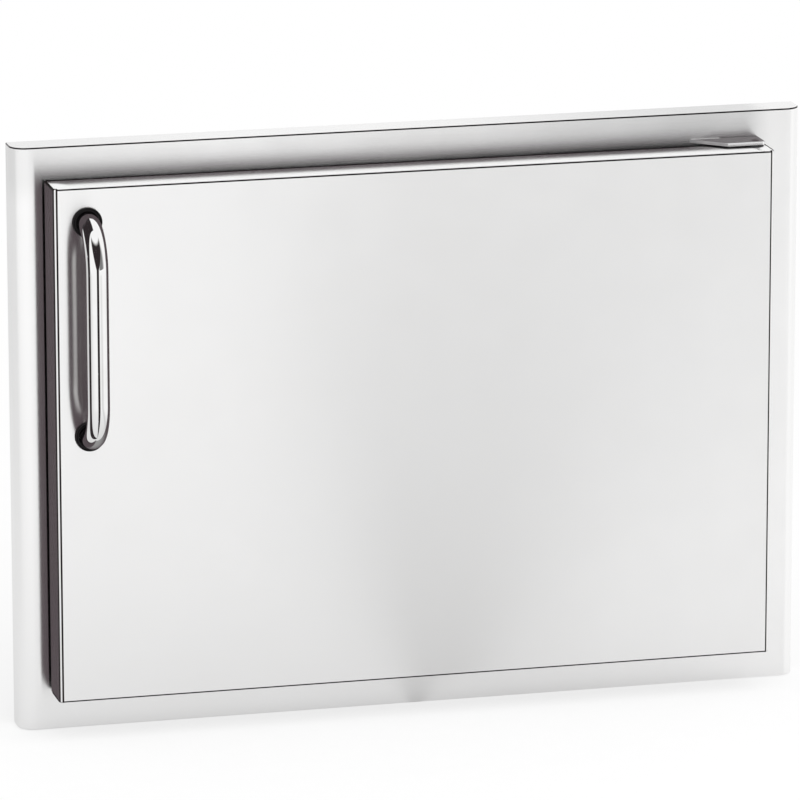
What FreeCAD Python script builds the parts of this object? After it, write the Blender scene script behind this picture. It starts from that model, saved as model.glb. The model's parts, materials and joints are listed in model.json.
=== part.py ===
import FreeCAD, Part
import os
import Sketcher
from FreeCAD import Vector

# Stainless access door for the side of an outdoor kitchen island.
# +Z is up, the front faces -Y, and the rear edges of the raised frame rest on the
# island's wall in the plane Y = 0. The origin is the centre of the wall's cut-out.
# A distance "out" is measured forwards from the wall, so it lies at Y = -out.

DIMENSIONS = [
    # raised frame
    ("frame_width", 590.0), ("frame_height", 433.0), ("frame_out", 23.5),
    ("frame_right", 4.5), ("frame_down", 3.0),
    ("frame_sheet", 1.5), ("frame_roll", 12.0), ("frame_edge", 1.2),
    ("window_width", 510.0), ("window_height", 354.0),
    # sleeve through the wall
    ("sleeve_sheet", 1.2), ("sleeve_rear", 55.0), ("sleeve_lip", 12.0),
    ("fixing_rear", 28.0), ("fixing_radius", 2.6), ("fixing_pitch_high", 240.0),
    ("fixing_pitch_wide", 380.0),
    # door box
    ("door_width", 536.0), ("door_height", 380.0), ("door_gap", 3.5), ("door_out", 59.0),
    ("door_sheet", 1.2), ("door_edge", 1.4), ("door_roll", 2.6),
    ("door_lip", 14.0),
    ("panel_inset", 2.0), ("panel_sheet", 1.0),
    ("tray_width", 468.0), ("tray_height", 310.0), ("tray_depth", 8.0), ("tray_corner", 14.0),
    ("rivet_radius", 1.6), ("rivet_head", 3.2), ("rivet_dome", 0.9), ("rivet_round", 0.6),
    ("rivet_bulb", 2.3), ("rivet_tail", 2.4), ("rivet_inset", 9.0), ("rivet_play", 0.05),
    ("rivet_span_wide", 412.0), ("rivet_span_high", 200.0),
    # pivots
    ("pivot_inset", 9.0), ("pivot_out", 38.5),
    ("bracket_sheet", 2.5), ("bracket_lift", 1.5), ("bracket_reach", 21.0),
    ("bracket_root", 51.0), ("bracket_nose", 28.0), ("bracket_side", 6.0),
    ("bracket_leg", 20.0), ("bracket_play", 0.2), ("bracket_round", 2.0),
    ("stud_radius", 2.0), ("stud_length", 9.5), ("stud_rise", 12.0),
    ("stud_pitch", 28.0), ("stud_side", 11.0), ("stud_play", 0.1),
    ("nut_across", 7.0), ("nut_thick", 3.2), ("nut_play", 0.05),
    ("lock_washer_radius", 4.4), ("lock_washer_thick", 0.8),
    ("pin_radius", 3.0), ("pin_depth", 13.0), ("pin_chamfer", 0.6), ("pin_play", 0.05),
    ("bush_radius", 4.2), ("bush_depth", 14.0), ("bush_flange", 6.5),
    ("bush_flange_upper", 1.0), ("bush_flange_lower", 1.4),
    ("block_side", 12.0), ("block_rear", 6.0), ("block_front", 10.0), ("block_height", 16.0),
    ("channel_width", 16.0), ("channel_depth", 14.0), ("channel_sheet", 1.5),
    # handle
    ("handle_inset", 24.4), ("handle_top", 25.2), ("handle_pitch", 157.0),
    ("handle_radius", 8.0), ("handle_reach", 33.0), ("handle_bend", 30.5),
    ("handle_hole_depth", 15.0), ("screw_radius", 2.5), ("screw_depth", 14.0),
    ("screw_play", 0.05), ("screw_head_radius", 4.6), ("screw_head_thick", 3.4),
    ("screw_head_round", 1.5), ("socket_across", 3.0), ("socket_depth", 1.8),
    ("gasket_radius", 10.8), ("gasket_thick", 2.6), ("gasket_round", 1.1),
    ("gasket_play", 0.1), ("gasket_floor", 0.8),
    ("backing_width", 30.0), ("backing_overhang", 16.0), ("backing_sheet", 2.0),
    ("washer_radius", 5.5), ("washer_thick", 1.0),
    # magnetic catch and stops
    ("catch_length", 46.0), ("catch_depth", 20.0), ("catch_wall", 1.8),
    ("ear_length", 12.0), ("ear_thick", 2.2), ("ear_inset", 2.0),
    ("catch_screw_radius", 1.7), ("catch_screw_head", 3.2), ("catch_screw_dome", 2.0),
    ("catch_screw_length", 6.5), ("catch_screw_round", 1.0),
    ("slot_length", 3.0), ("slot_width", 0.8), ("slot_depth", 1.0),
    ("magnet_thick", 6.0), ("magnet_length", 38.0), ("magnet_depth", 13.0),
    ("pole_thick", 1.5), ("pole_proud", 2.0),
    ("strike_width", 18.0), ("strike_length", 60.0), ("strike_thick", 1.2),
    ("strike_pitch", 49.0), ("strike_screw_radius", 1.4), ("strike_screw_head", 2.6),
    ("strike_screw_dome", 0.8), ("strike_screw_tail", 3.0),
    ("bumper_radius", 4.5), ("bumper_gap", 0.4), ("bumper_inset", 6.5), ("bumper_round", 0.8),
]
WORDS = set(word for word, number in DIMENSIONS)

doc = FreeCAD.newDocument("access_door")
sizes = doc.addObject("Spreadsheet::Sheet", "Sizes")
for row, (word, number) in enumerate(DIMENSIONS, start=1):
    sizes.set("A%d" % row, word.replace("_", " "))
    sizes.set("B%d" % row, str(number))
    sizes.setAlias("B%d" % row, word)
doc.recompute()

# places that several pieces share, as formulas of the sheet's words
FLANGE_REAR = "(frame_out - frame_sheet)"
DOOR_REAR = "(frame_out + door_gap)"
SKIN_REAR = "(frame_out + door_gap + panel_sheet)"
FACE_REAR = "(door_out - door_sheet)"
PIVOT_ACROSS = "(door_width / 2 - pivot_inset)"
HANDLE_ACROSS = "(handle_inset - door_width / 2)"
HANDLE_HIGH = "(door_height / 2 - handle_top)"
HANDLE_LOW = "(door_height / 2 - handle_top - handle_pitch)"
HANDLE_FOOT = "(door_out + gasket_floor)"
HANDLE_MID = "(door_out + handle_reach)"
PLATE_LOW = "(door_height / 2 + bracket_lift)"
PLATE_HIGH = "(door_height / 2 + bracket_lift + bracket_sheet)"
BRACKET_RIGHT = "(door_width / 2 - pivot_inset + bracket_side)"
STUD_HIGH = "(door_height / 2 + bracket_lift + bracket_sheet + stud_rise)"
CATCH_WIDTH = "(magnet_thick + 2 * pole_thick + 2 * catch_wall)"
CATCH_ACROSS = "(magnet_thick / 2 + pole_thick + catch_wall - window_width / 2)"


def bound(formula):
    """Turn a formula of plain size words into an expression that reads the sheet."""
    pieces = []
    word = ""
    for letter in "(%s) " % formula:
        if letter.isalnum() or letter in "_.":
            word += letter
        else:
            pieces.append("Sizes." + word if word in WORDS else word)
            pieces.append(letter)
            word = ""
    return "".join(pieces) + "* 1 mm"


def new_body(label):
    body = doc.addObject("PartDesign::Body", label)
    body.Label = label
    return body


def sketch_on(body, role, offset="0"):
    """Open a sketch on one of the body's own origin planes, moved along its normal."""
    sketch = body.newObject("Sketcher::SketchObject", body.Name + "_sketch")
    plane = [item for item in body.Origin.OriginFeatures if item.Role == role][0]
    sketch.AttachmentSupport = (plane, [""])
    sketch.MapMode = "FlatFace"
    sketch.setExpression("AttachmentOffset.Base.z", bound(offset))
    return sketch


def hold_point(sketch, geometry, end, point):
    """Bind a point to two formulas, starting from where it was drawn."""
    drawn = sketch.getPoint(geometry, end)
    rules = zip(("DistanceX", "DistanceY"), (drawn.x, drawn.y), point)
    for kind, start, formula in rules:
        number = sketch.addConstraint(Sketcher.Constraint(kind, -1, 1, geometry, end, start))
        sketch.setExpression("Constraints[%d]" % number, bound(formula))


def hold_radius(sketch, geometry, formula):
    drawn = sketch.Geometry[geometry].Radius
    number = sketch.addConstraint(Sketcher.Constraint("Radius", geometry, drawn))
    sketch.setExpression("Constraints[%d]" % number, bound(formula))


def draw_outline(sketch, points):
    """Draw a closed outline of straight sides, each corner held by two formulas."""
    count = len(points)
    first = sketch.GeometryCount
    rough = [Vector(index, index * index, 0) for index in range(count)]
    for index in range(count):
        sketch.addGeometry(Part.LineSegment(rough[index], rough[(index + 1) % count]))
    for index in range(count):
        following = first + (index + 1) % count
        sketch.addConstraint(Sketcher.Constraint("Coincident", first + index, 2, following, 1))
    for index, point in enumerate(points):
        hold_point(sketch, first + index, 1, point)


def draw_circle(sketch, centre, radius):
    number = sketch.addGeometry(Part.Circle(Vector(0, 0, 0), Vector(0, 0, 1), 1.0))
    hold_point(sketch, number, 3, centre)
    hold_radius(sketch, number, radius)


def span(left, right, low, high):
    return [(left, low), (right, low), (right, high), (left, high)]


def centred(width, height, centre=("0", "0")):
    across, along = centre
    return span("%s - (%s) / 2" % (across, width), "%s + (%s) / 2" % (across, width),
                "%s - (%s) / 2" % (along, height), "%s + (%s) / 2" % (along, height))


def hexagon(across_flats, centre):
    """Corners of a hexagon that stands on a corner."""
    half = "(%s) / 2" % across_flats
    tip = "(%s) / sqrt(3)" % across_flats
    steps = [("0", "-" + tip), (half, "-%s / 2" % tip), (half, tip + " / 2"),
             ("0", tip), ("-" + half, tip + " / 2"), ("-" + half, "-%s / 2" % tip)]
    return [("%s + (%s)" % (centre[0], across), "%s + (%s)" % (centre[1], along))
            for across, along in steps]


def check_states(items):
    """doc.recompute() can leave a failed feature without a word, so each one is asked."""
    for item in items:
        if "Invalid" in item.State or "Error" in item.State:
            raise RuntimeError("%s did not build: %s" % (item.Name, item.State))


def volume_of(body):
    doc.recompute()
    check_states(body.Group)
    return body.Shape.Volume


def pad(body, sketch, length):
    feature = body.newObject("PartDesign::Pad", body.Name + "_pad")
    feature.Profile = sketch
    feature.setExpression("Length", bound(length))
    sketch.Visibility = False
    body.Tip = feature
    doc.recompute()


def pocket(body, sketch, length, along_normal=False):
    """Cut against the sketch's normal, or along it, and make sure that it cuts."""
    before = volume_of(body)
    feature = body.newObject("PartDesign::Pocket", body.Name + "_pocket")
    feature.Profile = sketch
    feature.setExpression("Length", bound(length))
    feature.Reversed = along_normal
    body.Tip = feature
    if volume_of(body) >= before:
        raise RuntimeError("a pocket cuts nothing in " + body.Label)


def chosen_edges(feature, test):
    edges = enumerate(feature.Shape.Edges, start=1)
    return ["Edge%d" % number for number, edge in edges if test(edge.BoundBox)]


def soften(body, kind, test, setting, size):
    """Round or bevel the edges whose bounding box passes the test."""
    base = body.Tip
    feature = body.newObject("PartDesign::" + kind, body.Name + "_" + kind.lower())
    feature.Base = (base, chosen_edges(base, test))
    feature.setExpression(setting, bound(size))
    body.Tip = feature
    doc.recompute()


def fillet(body, test, radius):
    soften(body, "Fillet", test, "Radius", radius)


def chamfer(body, test, width):
    soften(body, "Chamfer", test, "Size", width)


def hollow(body, wall):
    """Leave a wall of even thickness, open at the rear."""
    base = body.Tip
    rear = base.Shape.BoundBox.YMax
    faces = enumerate(base.Shape.Faces, start=1)
    openings = ["Face%d" % number for number, face in faces if face.BoundBox.YMin > rear - 0.01]
    feature = body.newObject("PartDesign::Thickness", body.Name + "_thickness")
    feature.Base = (base, openings)
    feature.setExpression("Value", bound(wall))
    feature.Reversed = True
    body.Tip = feature
    doc.recompute()


def slab(body, outlines, near, far):
    """Pad outlines, drawn in the front view, between two distances out from the wall."""
    sketch = sketch_on(body, "XZ_Plane", near)
    for outline in outlines:
        draw_outline(sketch, outline)
    pad(body, sketch, "%s - (%s)" % (far, near))


def discs(body, centres, radius, near, far):
    sketch = sketch_on(body, "XZ_Plane", near)
    for centre in centres:
        draw_circle(sketch, centre, radius)
    pad(body, sketch, "%s - (%s)" % (far, near))


def cut_slab(body, outlines, near, far):
    sketch = sketch_on(body, "XZ_Plane", near)
    for outline in outlines:
        draw_outline(sketch, outline)
    pocket(body, sketch, "%s - (%s)" % (far, near), along_normal=True)


def cut_discs(body, centres, radius, near, far):
    sketch = sketch_on(body, "XZ_Plane", near)
    for centre in centres:
        draw_circle(sketch, centre, radius)
    pocket(body, sketch, "%s - (%s)" % (far, near), along_normal=True)


def level(side, low, high):
    """Start height of a layer: side is 1 above the middle, and -1 mirrors it below."""
    return low if side > 0 else "-(%s)" % high


def rises(side, body, low, high, outline=None, centre=None, radius=None, cut=False):
    """Pad or cut an outline or a circle, drawn from above, between two heights."""
    sketch = sketch_on(body, "XY_Plane", level(side, low, high))
    if outline:
        draw_outline(sketch, outline)
    else:
        draw_circle(sketch, centre, radius)
    length = "%s - (%s)" % (high, low)
    if cut:
        pocket(body, sketch, length, along_normal=True)
    else:
        pad(body, sketch, length)


def signed(side, formula):
    return formula if side > 0 else "-(%s)" % formula


SIDES = (("upper", 1), ("lower", -1))
STUD_PLACES = [("%s - stud_side - %d * stud_pitch" % (BRACKET_RIGHT, step),
                signed(side, STUD_HIGH)) for name, side in SIDES for step in (0, 1)]
HANDLE_ENDS = [(HANDLE_ACROSS, HANDLE_HIGH), (HANDLE_ACROSS, HANDLE_LOW)]
STRIKE_PLACES = [(CATCH_ACROSS, signed(side, "strike_pitch / 2")) for name, side in SIDES]
BUMPER_PLACES = [("bumper_inset - door_width / 2", signed(side, "door_height / 2 - bumper_inset"))
                 for name, side in SIDES]


def rivet_places():
    """Four rivets along the top and the bottom, and two along each side."""
    high = "door_height / 2 - rivet_inset"
    wide = "door_width / 2 - rivet_inset"
    along = ["rivet_span_wide * %s" % share for share in ("(-1/2)", "(-1/6)", "(1/6)", "(1/2)")]
    places = [(across, signed(side, high)) for name, side in SIDES for across in along]
    places += [(signed(hand, wide), signed(side, "rivet_span_high / 2"))
               for name, side in SIDES for hand in (1, -1)]
    return places


def bracket_slot(side):
    """Slit in the flange that the bracket's plate comes through."""
    low = "%s - bracket_play" % PLATE_LOW
    high = "%s + bracket_play" % PLATE_HIGH
    left = "%s - bracket_root - bracket_play" % BRACKET_RIGHT
    right = "%s + bracket_play" % BRACKET_RIGHT
    if side > 0:
        return span(left, right, low, high)
    return span(left, right, "-(%s)" % high, "-(%s)" % low)


def make_trim_frame():
    """Raised flange with rolled sides, thin returns at top and bottom, and the window.

    It is wider beside the hinges and below the door than on the other two sides.
    """
    body = new_body("trim_frame")
    middle = ("frame_right", "-frame_down")
    slab(body, [centred("frame_width", "frame_height", middle)], "0", "frame_out")
    front = -sizes.frame_out
    fillet(body, lambda box: box.ZLength > 1 and box.YMax < front + 0.01, "frame_roll")
    hollow(body, "frame_sheet")
    high = sizes.frame_height / 2 - sizes.frame_down
    low = high - sizes.frame_height
    fillet(body, lambda box: (box.ZMin > high - 0.01 or box.ZMax < low + 0.01)
           and box.YMin < -0.01 and box.XLength > 0.01, "frame_edge")
    cut_slab(body, [centred("window_width", "window_height")], FLANGE_REAR + " - 1",
             "frame_out + 1")
    cut_slab(body, [bracket_slot(1), bracket_slot(-1)], FLANGE_REAR + " - 1", "frame_out + 1")
    return body


def sleeve_profile(side, half):
    """Section of one sleeve wall as (rearward, outward) with its lip behind the flange."""
    front = "-" + FLANGE_REAR
    turn = "%s + sleeve_sheet" % front
    steps = [(front, half), ("sleeve_rear", half), ("sleeve_rear", half + " + sleeve_sheet"),
             (turn, half + " + sleeve_sheet"), (turn, half + " + sleeve_lip"),
             (front, half + " + sleeve_lip")]
    return [(rearward, signed(side, outward)) for rearward, outward in steps]


def make_sleeve_wall(label, side):
    """Top or bottom wall, as wide as the window and its side walls."""
    body = new_body(label)
    sketch = sketch_on(body, "YZ_Plane", "-window_width / 2 - sleeve_sheet")
    draw_outline(sketch, sleeve_profile(side, "window_height / 2"))
    pad(body, sketch, "window_width + 2 * sleeve_sheet")
    outer = "window_height / 2 + sleeve_sheet"
    holes = sketch_on(body, "XY_Plane", level(side, "window_height / 2 - 1", outer + " + 1"))
    for hand in (1, -1):
        draw_circle(holes, (signed(hand, "fixing_pitch_wide / 2"), "fixing_rear"), "fixing_radius")
    pocket(body, holes, "sleeve_sheet + 2", along_normal=True)
    return body


def make_sleeve_side(label, hand):
    """Left or right wall, between the top and the bottom ones."""
    body = new_body(label)
    sketch = sketch_on(body, "XY_Plane", "-window_height / 2")
    profile = sleeve_profile(hand, "window_width / 2")
    draw_outline(sketch, [(outward, rearward) for rearward, outward in profile])
    pad(body, sketch, "window_height")
    outer = "window_width / 2 + sleeve_sheet"
    start = level(hand, "window_width / 2 - 1", outer + " + 1")
    holes = sketch_on(body, "YZ_Plane", start)
    for name, side in SIDES:
        draw_circle(holes, ("fixing_rear", signed(side, "fixing_pitch_high / 2")), "fixing_radius")
        if hand < 0:
            draw_circle(holes, ear_centre(side), "catch_screw_radius + screw_play")
    pocket(body, holes, "sleeve_sheet + 2", along_normal=True)
    return body


def ear_centre(side):
    """Centre of a catch ear's screw hole, seen along X as (rearward, up)."""
    return ("-(frame_out - catch_depth / 2)", signed(side, "(catch_length + ear_length) / 2"))


def make_hinge_bracket(name, side):
    """Plate that comes through the flange over the door's end, and its leg behind it."""
    body = new_body("hinge_bracket_" + name)
    rear = "-(%s - bracket_sheet)" % FLANGE_REAR
    root = "-frame_out"
    nose = "-(frame_out + bracket_reach)"
    left = "%s - bracket_root" % BRACKET_RIGHT
    plate = [(left, rear), (left, root), ("%s - bracket_nose" % BRACKET_RIGHT, nose),
             (BRACKET_RIGHT, nose), (BRACKET_RIGHT, rear)]
    rises(side, body, PLATE_LOW, PLATE_HIGH, outline=plate)
    leg = span(left, BRACKET_RIGHT, rear, "-" + FLANGE_REAR)
    rises(side, body, PLATE_LOW, PLATE_LOW + " + bracket_leg", outline=leg)
    tip = -(sizes.frame_out + sizes.bracket_reach)
    fillet(body, lambda box: box.YMax < tip + 0.01 and box.ZLength > 0.1 and box.XLength < 0.01,
           "bracket_round")
    pivot = (PIVOT_ACROSS, "-pivot_out")
    rises(side, body, PLATE_LOW + " - 1", PLATE_HIGH + " + 1", centre=pivot, radius="pin_radius",
          cut=True)
    places = STUD_PLACES[:2] if side > 0 else STUD_PLACES[2:]
    cut_discs(body, places, "stud_radius + stud_play", FLANGE_REAR + " - bracket_sheet - 1",
              FLANGE_REAR)
    return body


def make_bracket_studs():
    body = new_body("bracket_studs")
    discs(body, STUD_PLACES, "stud_radius", FLANGE_REAR + " - stud_length", FLANGE_REAR)
    return body


def make_bracket_washers():
    body = new_body("bracket_lock_washers")
    front = FLANGE_REAR + " - bracket_sheet"
    near = front + " - lock_washer_thick"
    discs(body, STUD_PLACES, "lock_washer_radius", near, front)
    cut_discs(body, STUD_PLACES, "stud_radius + stud_play", near + " - 1", front)
    return body


def make_bracket_nuts():
    body = new_body("bracket_nuts")
    front = FLANGE_REAR + " - bracket_sheet - lock_washer_thick"
    near = front + " - nut_thick"
    slab(body, [hexagon("nut_across", place) for place in STUD_PLACES], near, front)
    cut_discs(body, STUD_PLACES, "stud_radius + nut_play", near + " - 1", front)
    return body


def make_pivot_pin(name, side):
    """Pin pressed flush into the bracket, with a chamfered end inside the door."""
    body = new_body("pivot_pin_" + name)
    end = "door_height / 2 - pin_depth"
    rises(side, body, end, PLATE_HIGH, centre=(PIVOT_ACROSS, "-pivot_out"), radius="pin_radius")
    height = side * (sizes.door_height / 2 - sizes.pin_depth)
    chamfer(body, lambda box: abs(box.ZMax - height) < 0.01 and box.ZLength < 0.01, "pin_chamfer")
    return body


def make_pivot_bush(name, side):
    """Flanged plain bearing, pressed into the door's end around the pin."""
    body = new_body("pivot_bush_" + name)
    pivot = (PIVOT_ACROSS, "-pivot_out")
    foot = "door_height / 2 - bush_depth"
    crown = "door_height / 2 + bush_flange_" + name
    rises(side, body, foot, "door_height / 2", centre=pivot, radius="bush_radius")
    rises(side, body, "door_height / 2", crown, centre=pivot, radius="bush_flange")
    rises(side, body, foot + " - 1", crown + " + 1", centre=pivot, radius="pin_radius + pin_play",
          cut=True)
    return body


def make_pivot_block(name, side):
    """Thick block inside the door's corner that holds the bush."""
    body = new_body("pivot_block_" + name)
    ceiling = "door_height / 2 - door_sheet"
    outline = span("%s - block_side" % PIVOT_ACROSS, "door_width / 2 - door_sheet",
                   "-(pivot_out + block_front)", "-(pivot_out - block_rear)")
    rises(side, body, ceiling + " - block_height", ceiling, outline=outline)
    rises(side, body, ceiling + " - block_height - 1", ceiling + " + 1",
          centre=(PIVOT_ACROSS, "-pivot_out"), radius="bush_radius + pin_play", cut=True)
    return body


def make_hinge_stiffener():
    """Folded stiffener between the two pivot blocks, open towards the latch side."""
    body = new_body("hinge_stiffener")
    right = "(door_width / 2 - door_sheet)"
    left = right + " - channel_width"
    inner = right + " - channel_sheet"
    rear = "-(pivot_out - block_rear)"
    front = rear + " - channel_depth"
    outline = [(left, rear), (right, rear), (right, front), (left, front),
               (left, front + " + channel_sheet"), (inner, front + " + channel_sheet"),
               (inner, rear + " - channel_sheet"), (left, rear + " - channel_sheet")]
    half = "(door_height / 2 - door_sheet - block_height)"
    sketch = sketch_on(body, "XY_Plane", "-" + half)
    draw_outline(sketch, outline)
    pad(body, sketch, "2 * " + half)
    return body


def make_door_skin():
    """Folded outer box of the door: face, four returns and the lips behind them."""
    body = new_body("door_skin")
    slab(body, [centred("door_width", "door_height")], SKIN_REAR, "door_out")
    front = -sizes.door_out
    fillet(body, lambda box: box.ZLength > 1 and box.YMax < front + 0.01, "door_roll")
    hollow(body, "door_sheet")
    lip_outer = centred("door_width - door_sheet", "door_height - door_sheet")
    lip_inner = centred("door_width - 2 * door_lip", "door_height - 2 * door_lip")
    slab(body, [lip_outer, lip_inner], SKIN_REAR, SKIN_REAR + " + door_sheet")
    wide = sizes.door_width / 2
    high = sizes.door_height / 2

    def on_corner(box):
        beside = max(abs(box.XMin), abs(box.XMax)) > wide - 0.01
        above = max(abs(box.ZMin), abs(box.ZMax)) > high - 0.01
        return box.YLength > 20 and box.ZLength < 0.01 and beside and above

    fillet(body, on_corner, "door_edge")
    cut_discs(body, HANDLE_ENDS, "screw_radius + screw_play", FACE_REAR + " - 1", "door_out + 1")
    cut_discs(body, rivet_places(), "rivet_radius + rivet_play", SKIN_REAR + " - 1",
              SKIN_REAR + " + door_sheet + 1")
    for name, side in SIDES:
        rises(side, body, "door_height / 2 - door_sheet - 1", "door_height / 2 + 1",
              centre=(PIVOT_ACROSS, "-pivot_out"), radius="bush_radius + pin_play", cut=True)
    return body


def make_door_panel():
    """Inner sheet that closes the door, with a shallow pressed tray."""
    body = new_body("door_inner_panel")
    slab(body, [centred("door_width - 2 * panel_inset", "door_height - 2 * panel_inset")],
         DOOR_REAR, SKIN_REAR)
    slab(body, [centred("tray_width", "tray_height")], DOOR_REAR, SKIN_REAR + " + tray_depth")
    inner = centred("tray_width - 2 * panel_sheet", "tray_height - 2 * panel_sheet")
    cut_slab(body, [inner], DOOR_REAR + " - 1", SKIN_REAR + " + tray_depth - panel_sheet")
    front = -(sizes.frame_out + sizes.door_gap + sizes.panel_sheet + sizes.tray_depth)
    floor = front + sizes.panel_sheet
    depth = sizes.tray_depth - 0.5
    fillet(body, lambda box: box.YLength > depth and abs(box.YMin - floor) < 0.01
           and box.XLength < 0.01, "tray_corner - panel_sheet")
    fillet(body, lambda box: box.YLength > depth and abs(box.YMin - front) < 0.01
           and box.XLength < 0.01, "tray_corner")
    cut_discs(body, rivet_places(), "rivet_radius + rivet_play", DOOR_REAR + " - 1",
              SKIN_REAR + " + 1")
    cut_discs(body, STRIKE_PLACES, "strike_screw_radius + screw_play", DOOR_REAR + " - 1",
              SKIN_REAR + " + 1")
    return body


def make_panel_rivets():
    """Blind rivets: a domed head behind the panel, and a bulb in front of the lip."""
    body = new_body("panel_rivets")
    places = rivet_places()
    far = SKIN_REAR + " + door_sheet"
    discs(body, places, "rivet_head", DOOR_REAR + " - rivet_dome", DOOR_REAR)
    rear = -(sizes.frame_out + sizes.door_gap - sizes.rivet_dome)
    fillet(body, lambda box: box.YMin > rear - 0.01, "rivet_round")
    discs(body, places, "rivet_radius", DOOR_REAR + " - rivet_dome / 2", far + " + rivet_tail")
    discs(body, places, "rivet_bulb", far, far + " + rivet_tail")
    return body


def make_handle_bar():
    """Round bar bent at both ends, with a tapped hole in each foot."""
    body = new_body("handle_bar")
    path = sketch_on(body, "YZ_Plane", HANDLE_ACROSS)
    bend_start = "-(%s - handle_bend)" % HANDLE_MID
    high_turn = "%s - handle_bend" % HANDLE_HIGH
    low_turn = "%s + handle_bend" % HANDLE_LOW
    corners = [("-" + HANDLE_FOOT, HANDLE_HIGH), (bend_start, HANDLE_HIGH),
               ("-" + HANDLE_MID, high_turn), ("-" + HANDLE_MID, low_turn),
               (bend_start, HANDLE_LOW), ("-" + HANDLE_FOOT, HANDLE_LOW)]
    foot = -(sizes.door_out + sizes.gasket_floor)
    turn = -(sizes.door_out + sizes.handle_reach - sizes.handle_bend)
    middle = -(sizes.door_out + sizes.handle_reach)
    high = sizes.door_height / 2 - sizes.handle_top
    low = high - sizes.handle_pitch
    bend = sizes.handle_bend
    slant = bend * (1 - 0.5 ** 0.5)
    rough = [Vector(foot, high, 0), Vector(turn, high, 0), Vector(middle, high - bend, 0),
             Vector(middle, low + bend, 0), Vector(turn, low, 0), Vector(foot, low, 0)]
    for start in (0, 2, 4):
        line = path.addGeometry(Part.LineSegment(rough[start], rough[start + 1]))
        hold_point(path, line, 1, corners[start])
        hold_point(path, line, 2, corners[start + 1])
    for line, side, edge in ((0, -1, high), (1, 1, low)):
        start = rough[2 * line + 1]
        finish = rough[2 * line + 2]
        waypoint = Vector(middle + slant, edge + side * slant, 0)
        arc = path.addGeometry(Part.Arc(start, waypoint, finish))
        forwards = (path.getPoint(arc, 1) - start).Length < 1
        first, last = (1, 2) if forwards else (2, 1)
        path.addConstraint(Sketcher.Constraint("Coincident", arc, first, line, 2))
        path.addConstraint(Sketcher.Constraint("Coincident", arc, last, line + 1, 1))
        hold_radius(path, arc, "handle_bend")
    profile = sketch_on(body, "XZ_Plane", HANDLE_FOOT)
    draw_circle(profile, HANDLE_ENDS[0], "handle_radius")
    doc.recompute()
    pipe = body.newObject("PartDesign::AdditivePipe", "handle_bar_pipe")
    pipe.Profile = profile
    pipe.Spine = (path, [])
    body.Tip = pipe
    doc.recompute()
    cut_discs(body, HANDLE_ENDS, "screw_radius + screw_play", HANDLE_FOOT + " - 1",
              HANDLE_FOOT + " + handle_hole_depth")
    return body


def make_handle_gaskets():
    """Dark cupped rings that the handle's feet stand in."""
    body = new_body("handle_gaskets")
    front = "door_out + gasket_thick"
    discs(body, HANDLE_ENDS, "gasket_radius", "door_out", front)
    edge = -(sizes.door_out + sizes.gasket_thick)
    fillet(body, lambda box: box.YMax < edge + 0.01, "gasket_round")
    cut_discs(body, HANDLE_ENDS, "handle_radius + gasket_play", HANDLE_FOOT, front + " + 1")
    cut_discs(body, HANDLE_ENDS, "screw_radius + screw_play", "door_out - 1",
              HANDLE_FOOT + " + 1")
    return body


def make_handle_backing():
    """Thick strip behind the door's face that spreads the load of the handle."""
    body = new_body("handle_backing_plate")
    middle = "(%s + %s) / 2" % (HANDLE_HIGH, HANDLE_LOW)
    outline = centred("backing_width", "handle_pitch + 2 * backing_overhang",
                      (HANDLE_ACROSS, middle))
    slab(body, [outline], FACE_REAR + " - backing_sheet", FACE_REAR)
    cut_discs(body, HANDLE_ENDS, "screw_radius + screw_play", FACE_REAR + " - backing_sheet - 1",
              FACE_REAR)
    return body


def make_handle_washers():
    body = new_body("handle_washers")
    far = FACE_REAR + " - backing_sheet"
    near = far + " - washer_thick"
    discs(body, HANDLE_ENDS, "washer_radius", near, far)
    cut_discs(body, HANDLE_ENDS, "screw_radius + screw_play", near + " - 1", far)
    return body


def make_handle_screws():
    """Button-headed screws through the face into the handle's feet."""
    body = new_body("handle_screws")
    seat = FACE_REAR + " - backing_sheet - washer_thick"
    near = seat + " - screw_head_thick"
    discs(body, HANDLE_ENDS, "screw_head_radius", near, seat)
    rear = -(sizes.door_out - sizes.door_sheet - sizes.backing_sheet - sizes.washer_thick
             - sizes.screw_head_thick)
    fillet(body, lambda box: box.YMin > rear - 0.01, "screw_head_round")
    discs(body, HANDLE_ENDS, "screw_radius", seat + " - 1", HANDLE_FOOT + " + screw_depth")
    cut_slab(body, [hexagon("socket_across", place) for place in HANDLE_ENDS], near + " - 1",
             near + " + socket_depth")
    return body


def make_catch_body():
    """Plastic housing on the sleeve's left wall, with two screw ears."""
    body = new_body("catch_body")
    left = "-window_width / 2"
    slab(body, [centred(CATCH_WIDTH, "catch_length", (CATCH_ACROSS, "0"))],
         "frame_out - catch_depth", "frame_out")
    ears = span(left, left + " + ear_thick", "-(catch_length / 2 + ear_length)",
                "catch_length / 2 + ear_length")
    slab(body, [ears], "frame_out - catch_depth + ear_inset", "frame_out - ear_inset")
    cavity = centred("magnet_thick + 2 * pole_thick", "magnet_length", (CATCH_ACROSS, "0"))
    cut_slab(body, [cavity], "frame_out - magnet_depth", "frame_out + 1")
    holes = sketch_on(body, "YZ_Plane", left + " - 1")
    for name, side in SIDES:
        draw_circle(holes, ear_centre(side), "catch_screw_radius + screw_play")
    pocket(body, holes, "ear_thick + 2", along_normal=True)
    return body


def make_catch_magnet():
    body = new_body("catch_magnet")
    slab(body, [centred("magnet_thick", "magnet_length", (CATCH_ACROSS, "0"))],
         "frame_out - magnet_depth", "frame_out")
    return body


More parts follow.
